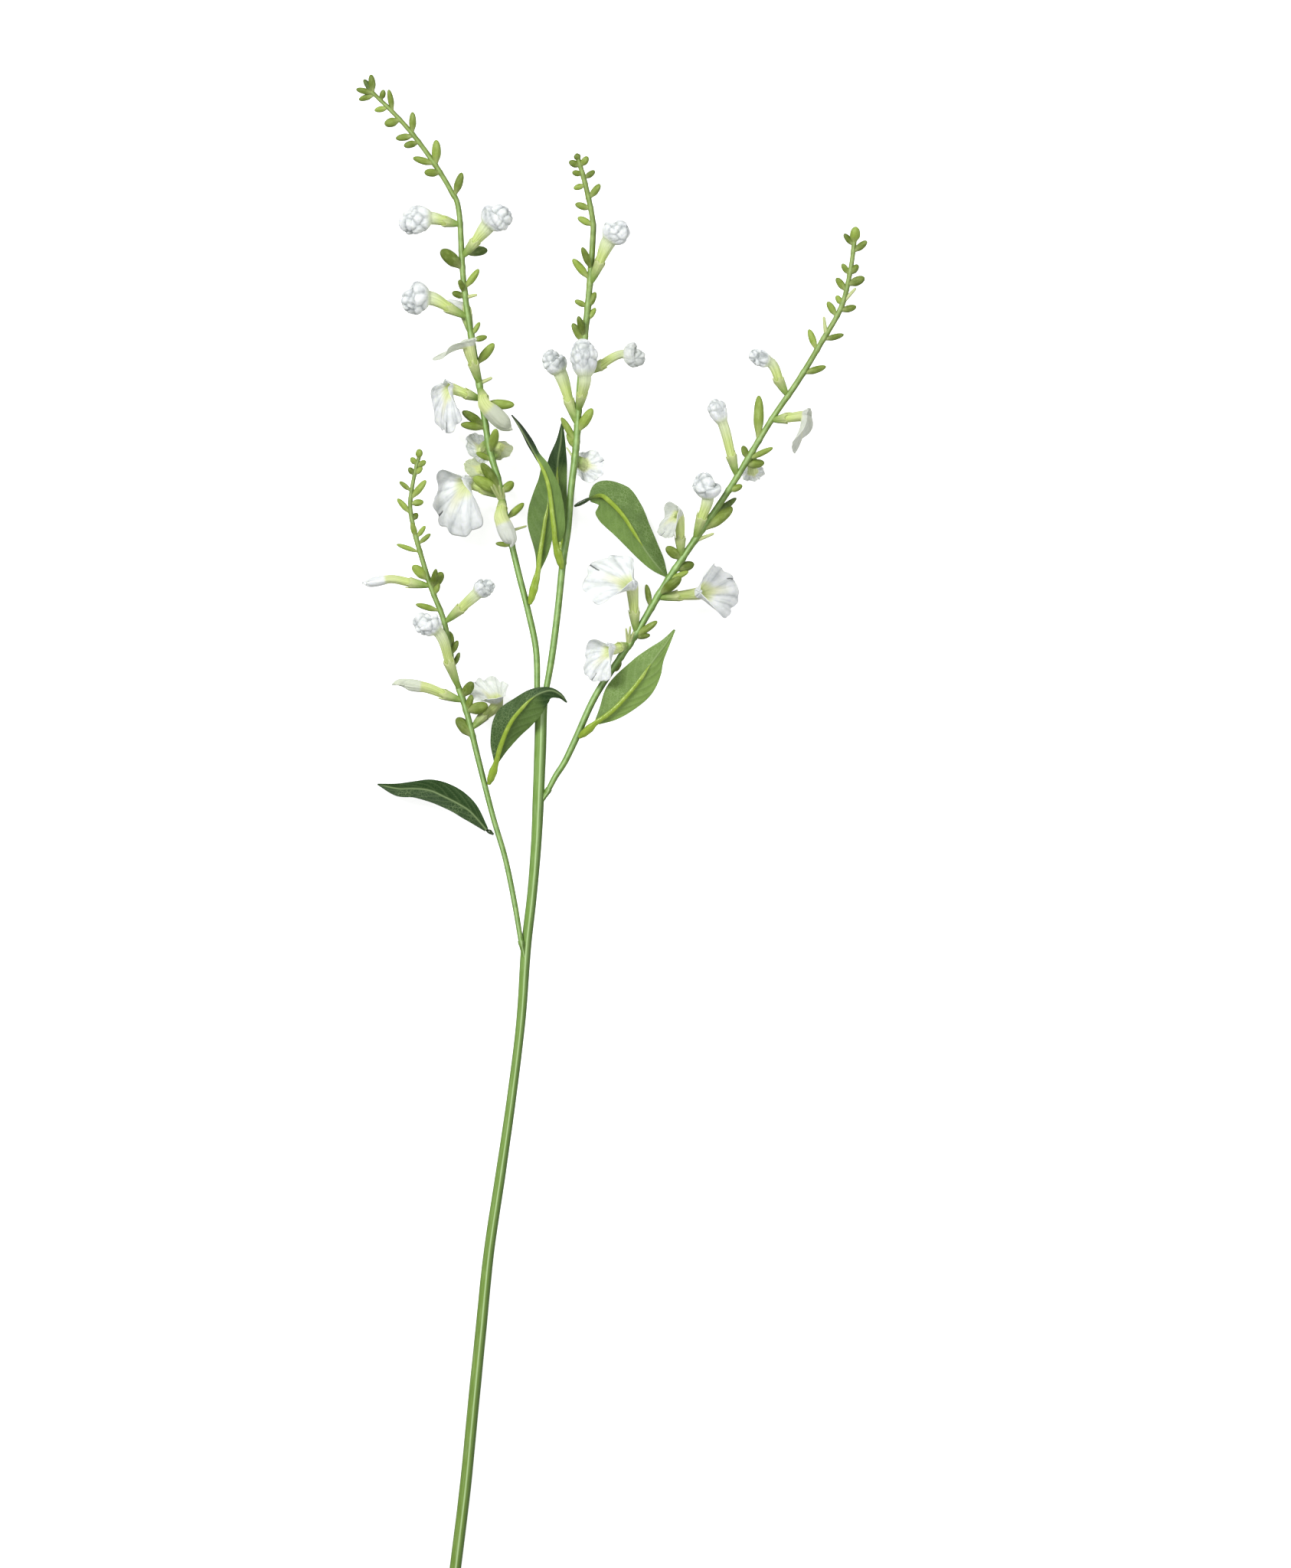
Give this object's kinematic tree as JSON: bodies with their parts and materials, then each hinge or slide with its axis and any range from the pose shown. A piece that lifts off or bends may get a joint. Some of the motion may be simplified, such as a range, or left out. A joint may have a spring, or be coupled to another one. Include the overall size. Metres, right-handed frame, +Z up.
{
  "type": "lavender stem",
  "caption": "Artificial lavender stem lying flat: white two-lipped flowers, green calyxes and buds on branching stalks, and long creased leaves with pale ribs.",
  "frame": {"origin": "under the middle of the stem's bounding box, on the surface the stem lies on", "axes": "+Y along the stem from its cut end to its flowers, +Z up from the surface, +X to the right seen from above with the flowers away"},
  "size_m": [0.2459, 0.7575, 0.0391],
  "materials": {
    "stem_plastic": "satin, moulded",
    "spike_plastic": "satin, moulded",
    "petal_fabric": "matt, thin",
    "leaf_fabric": "matt, woven, pressed with veins",
    "rib_plastic": "glossy, moulded"
  },
  "bodies": {
    "root": {"corolla_left_01": "petal_fabric", "corolla_left_02": "petal_fabric", "corolla_left_03": "petal_fabric", "corolla_left_04": "petal_fabric", "corolla_left_05": "petal_fabric", "corolla_left_06": "petal_fabric", "corolla_left_07": "petal_fabric", "corolla_left_08": "petal_fabric", "corolla_left_09": "petal_fabric", "corolla_left_10": "petal_fabric", "corolla_left_11": "petal_fabric", "corolla_left_12": "petal_fabric", "corolla_middle_01": "petal_fabric", "corolla_middle_02": "petal_fabric", "corolla_middle_03": "petal_fabric", "corolla_middle_04": "petal_fabric", "corolla_middle_05": "petal_fabric", "corolla_right_01": "petal_fabric", "corolla_right_02": "petal_fabric", "corolla_right_03": "petal_fabric", "corolla_right_04": "petal_fabric", "corolla_right_05": "petal_fabric", "corolla_right_06": "petal_fabric", "corolla_right_07": "petal_fabric", "corolla_right_08": "petal_fabric", "corolla_right_09": "petal_fabric", "corolla_short_01": "petal_fabric", "corolla_short_02": "petal_fabric", "corolla_short_03": "petal_fabric", "corolla_short_04": "petal_fabric", "corolla_short_05": "petal_fabric", "leaf_left_blade": "leaf_fabric", "leaf_left_rib": "rib_plastic", "leaf_middle_back_blade": "leaf_fabric", "leaf_middle_back_rib": "rib_plastic", "leaf_middle_low_blade": "leaf_fabric", "leaf_middle_low_rib": "rib_plastic", "leaf_middle_right_blade": "leaf_fabric", "leaf_middle_right_rib": "rib_plastic", "leaf_right_blade": "leaf_fabric", "leaf_right_rib": "rib_plastic", "leaf_short_lower_blade": "leaf_fabric", "leaf_short_lower_rib": "rib_plastic", "leaf_short_upper_blade": "leaf_fabric", "leaf_short_upper_rib": "rib_plastic", "main_stem": "stem_plastic", "spike_left": "spike_plastic", "spike_middle": "spike_plastic", "spike_right": "spike_plastic", "spike_short": "spike_plastic"}
  },
  "joints": []
}
